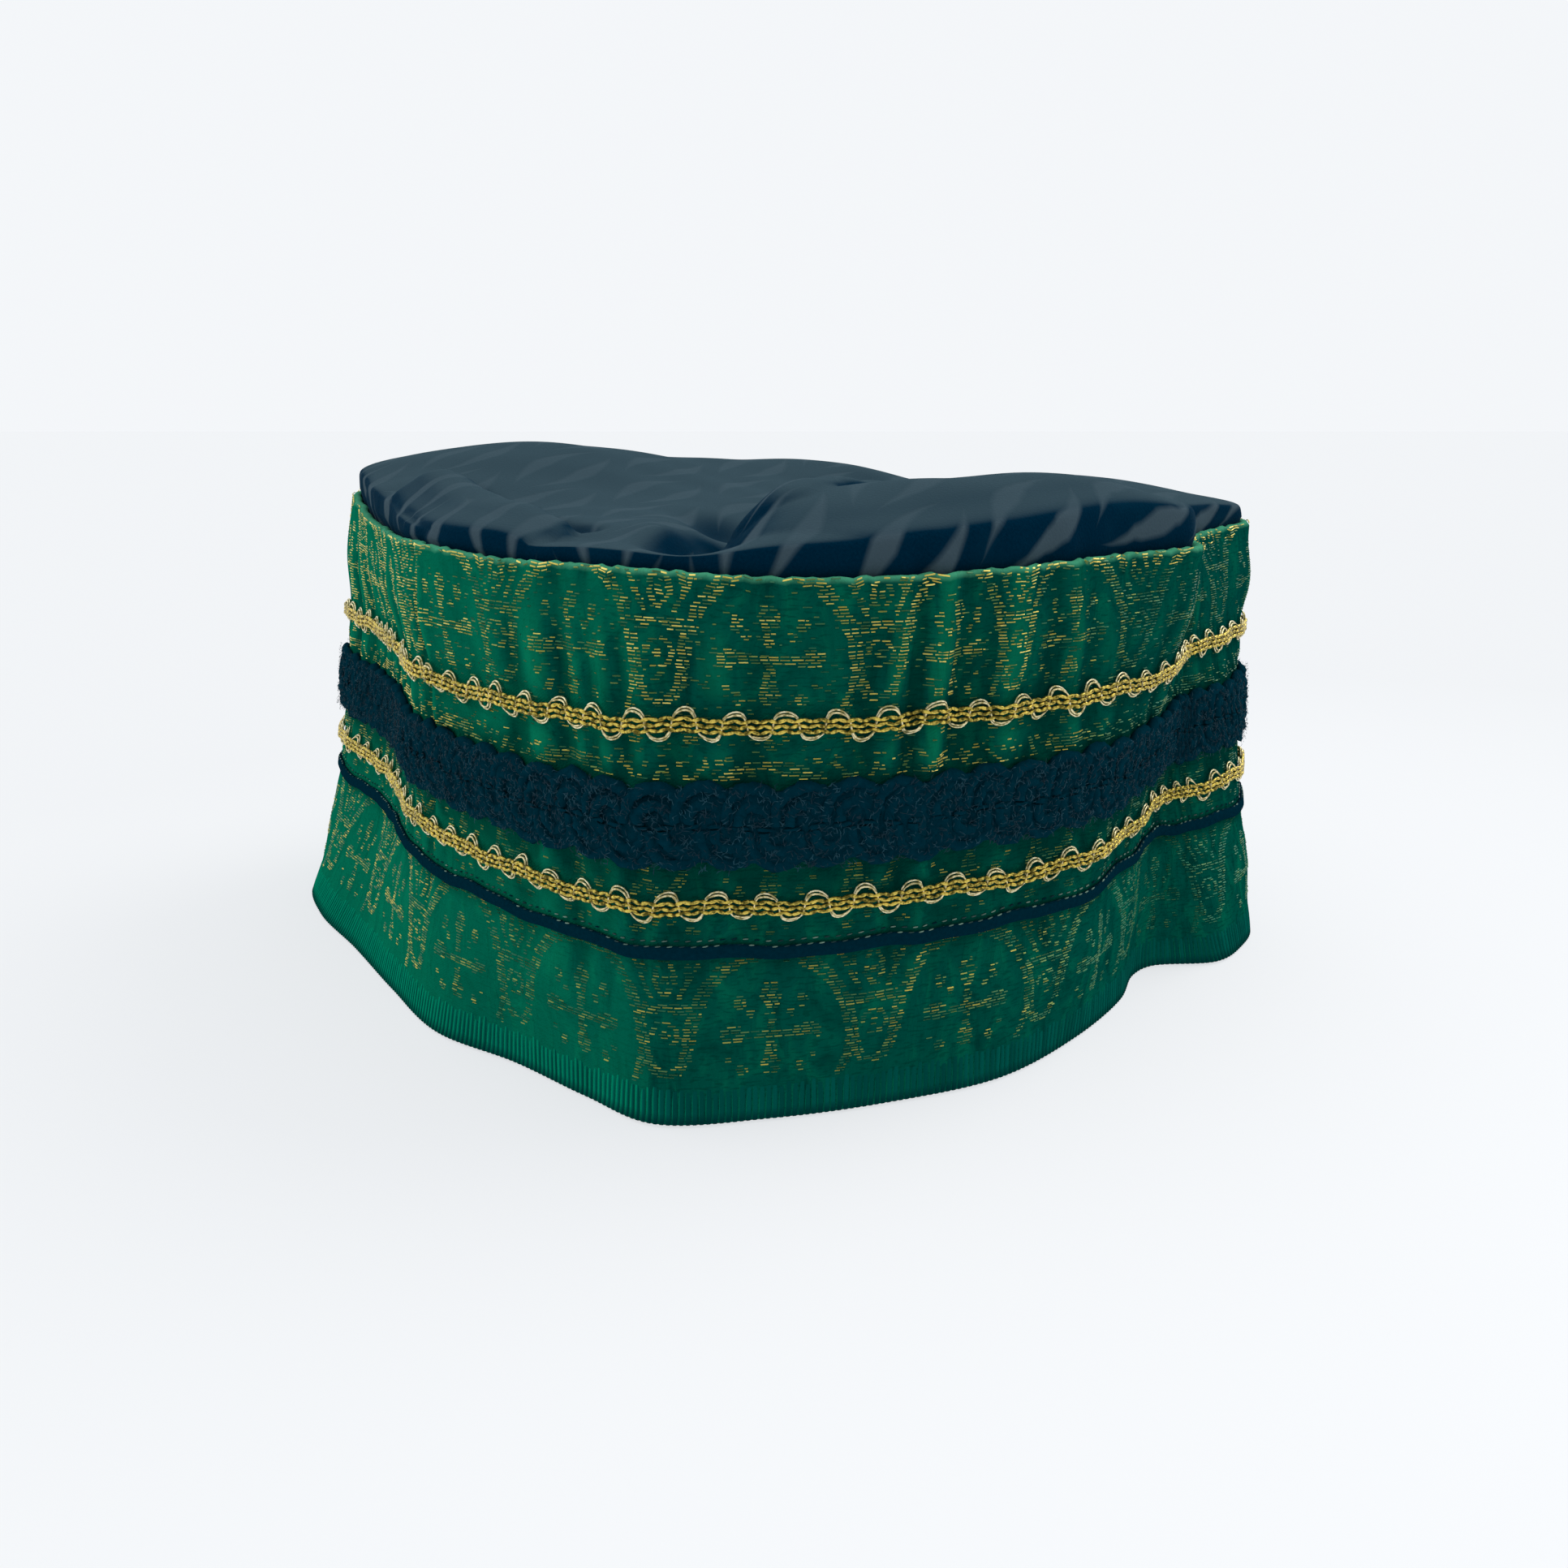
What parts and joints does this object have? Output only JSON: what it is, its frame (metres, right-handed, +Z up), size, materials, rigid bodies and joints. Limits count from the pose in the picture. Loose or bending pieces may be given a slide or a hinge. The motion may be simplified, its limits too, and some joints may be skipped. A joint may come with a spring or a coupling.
{
  "type": "soft brocade cap",
  "caption": "Soft round cap with a straight brocade side band, gold and black braids round it, and a puffed velvet crown.",
  "frame": {"origin": "on the surface the cap rests on, under the middle of its base", "axes": "+Z up, -Y towards the front of the cap, +X to its wearer's left, along its widest way"},
  "size_m": [0.2189, 0.1847, 0.1029],
  "materials": {
    "brocade": "satin ground with short gold metallic floats",
    "velvet": "short pile velvet, black with a blue cast",
    "hem_thread": "close overcast stitches in bright green thread",
    "black_cord": "flat black cord with two rows of stitches",
    "gold_braid": "metallic gimp braid with looped edges",
    "black_braid": "thick matt chenille braid"
  },
  "bodies": {
    "root": {"side_band": "brocade", "crown": "velvet", "hem": "hem_thread", "black_cord": "black_cord", "gold_braid_lower": "gold_braid", "black_braid": "black_braid", "gold_braid_upper": "gold_braid"}
  },
  "joints": []
}
